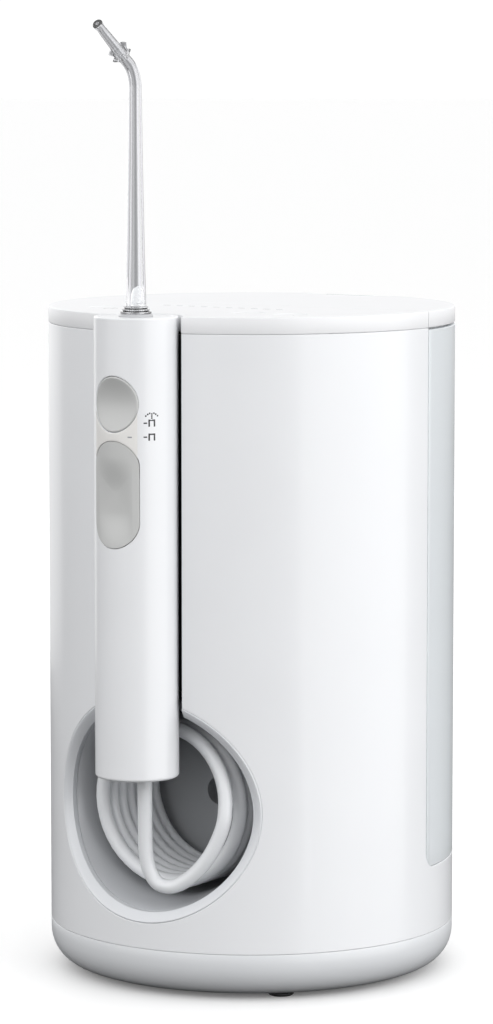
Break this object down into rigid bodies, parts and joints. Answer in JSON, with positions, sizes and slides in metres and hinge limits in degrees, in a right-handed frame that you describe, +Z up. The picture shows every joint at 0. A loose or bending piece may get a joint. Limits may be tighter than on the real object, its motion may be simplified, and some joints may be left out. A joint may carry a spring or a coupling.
{
  "type": "countertop water flosser",
  "caption": "Round countertop water flosser with a half-round rear tank, a hose coiled in a front recess and a docked handle with an angled nozzle.",
  "frame": {"origin": "centre of the footprint (round housing plus docked handle and nozzle) on the surface the feet stand on", "axes": "+Z up, -Y towards the user (handle side), +Y towards the water tank, +X to the user's right"},
  "size_m": [0.128, 0.1518, 0.2988],
  "materials": {
    "white_shell": "smooth gloss white moulded plastic",
    "grey_trim": "satin light grey plastic",
    "cup_grey": "satin grey plastic, darker inside",
    "dark_plastic": "matt dark grey plastic",
    "clear_tank": "frosted clear plastic with a blue tint",
    "clear_nozzle": "clear plastic",
    "hose_white": "soft white hose",
    "black_rubber": "matt black rubber",
    "soft_seal": "translucent silicone",
    "steel": "plain steel",
    "motor_can": "zinc plated motor can",
    "nylon": "natural nylon",
    "board_green": "circuit board",
    "lamp_lens": "grey lens"
  },
  "bodies": {
    "root": {"base_tray": "white_shell", "front_shell": "white_shell", "top_cover": "white_shell", "handle_cradle": "dark_plastic", "cradle_magnet": "steel", "tank_bay": "white_shell", "power_inlet_gland": "grey_trim", "foot_1": "black_rubber", "foot_2": "black_rubber", "foot_3": "black_rubber", "foot_4": "black_rubber", "base_screw_1": "steel", "base_screw_2": "steel", "base_screw_3": "steel", "base_screw_4": "steel", "level_lamp_bar": "lamp_lens", "control_board": "board_green", "hose_cup": "cup_grey", "hose_elbow": "dark_plastic", "hose_lead": "hose_white", "hose_coil": "hose_white", "tank_seat": "nylon", "tank_seat_seal": "black_rubber", "motor": "motor_can", "crank_axle": "steel", "pump_housing": "nylon", "inlet_valve": "black_rubber", "outlet_valve": "black_rubber", "pump_bracket": "grey_trim", "suction_tube": "soft_seal", "delivery_tube": "soft_seal", "power_board": "board_green"},
    "handle": {"handle_sleeve": "white_shell", "handle_bottom_cap": "white_shell", "handle_top_cap": "white_shell", "handle_chassis": "nylon", "handle_steel_plate": "steel", "hose_gland": "black_rubber", "release_spring": "steel"},
    "switch": {"water_switch": "grey_trim", "valve_spool": "nylon"},
    "release": {"nozzle_release_button": "grey_trim"},
    "seat": {"nozzle_seat": "grey_trim", "nozzle_seal": "black_rubber"},
    "nozzle": {"nozzle": "clear_nozzle"},
    "tank": {"tank_body": "clear_tank", "lid_hinge_pin": "steel", "tank_valve_spring": "steel"},
    "lid": {"tank_lid": "white_shell", "lid_seal": "soft_seal"},
    "tank_valve": {"tank_valve_poppet": "nylon"},
    "motor_rotor": {"motor_pinion": "nylon"},
    "crank": {"crank_gear": "nylon"},
    "piston_rod": {"crank_yoke": "nylon", "piston": "nylon", "piston_seal": "black_rubber"},
    "power_key": {"power_button": "grey_trim"},
    "minus_key": {"minus_button": "grey_trim"},
    "plus_key": {"plus_button": "grey_trim"}
  },
  "joints": [
    {"name": "handle_pull", "type": "slide", "parent": "root", "child": "handle", "axis": [0, -1, 0], "range_m": [0, 0.03]},
    {"name": "switch_slide", "type": "slide", "parent": "handle", "child": "switch", "axis": [0, 0, 1], "range_m": [0, 0.0042]},
    {"name": "release_press", "type": "slide", "parent": "handle", "child": "release", "axis": [0, 1, 0], "range_m": [0, 0.0012], "stiffness_N_per_m": 1500, "springref_m": -0.0004, "deforming": ["release_spring"]},
    {"name": "nozzle_turn", "type": "hinge", "parent": "handle", "child": "seat", "pos_m": [0, -0.05462, 0.205], "axis": [0, 0, 1], "continuous": true},
    {"name": "nozzle_pull", "type": "slide", "parent": "seat", "child": "nozzle", "axis": [0, 0, 1], "range_m": [0, 0.03]},
    {"name": "tank_lift", "type": "slide", "parent": "root", "child": "tank", "axis": [0, 0, 1], "range_m": [0, 0.175]},
    {"name": "lid_hinge", "type": "hinge", "parent": "tank", "child": "lid", "pos_m": [0, 0.07178, 0.2073], "axis": [-1, 0, 0], "range_deg": [0, 95]},
    {"name": "tank_valve_close", "type": "slide", "parent": "tank", "child": "tank_valve", "axis": [0, 0, 1], "range_m": [-0.0025, 0], "deforming": ["tank_valve_spring"]},
    {"name": "crank_turn", "type": "hinge", "parent": "root", "child": "crank", "pos_m": [-0.002, -0.01472, 0.146], "axis": [0, 0, 1], "continuous": true},
    {"name": "motor_spin", "type": "hinge", "parent": "root", "child": "motor_rotor", "pos_m": [-0.024, -0.01472, 0.146], "axis": [0, 0, 1], "continuous": true},
    {"name": "piston_slide", "type": "slide", "parent": "root", "child": "piston_rod", "axis": [1, 0, 0], "range_m": [-0.006, 0.006]},
    {"name": "power_press", "type": "slide", "parent": "root", "child": "power_key", "axis": [0, 0, -1], "range_m": [0, 0.0006], "stiffness_N_per_m": 1500, "springref_m": -0.0003},
    {"name": "minus_press", "type": "slide", "parent": "root", "child": "minus_key", "axis": [0, 0, -1], "range_m": [0, 0.0006], "stiffness_N_per_m": 1500, "springref_m": -0.0003},
    {"name": "plus_press", "type": "slide", "parent": "root", "child": "plus_key", "axis": [0, 0, -1], "range_m": [0, 0.0006], "stiffness_N_per_m": 1500, "springref_m": -0.0003}
  ],
  "couplings": [
    {"joint": "tank_valve_close", "follows": "tank_lift", "ratio": -0.014286},
    {"joint": "motor_spin", "follows": "crank_turn", "ratio": -3.4}
  ]
}
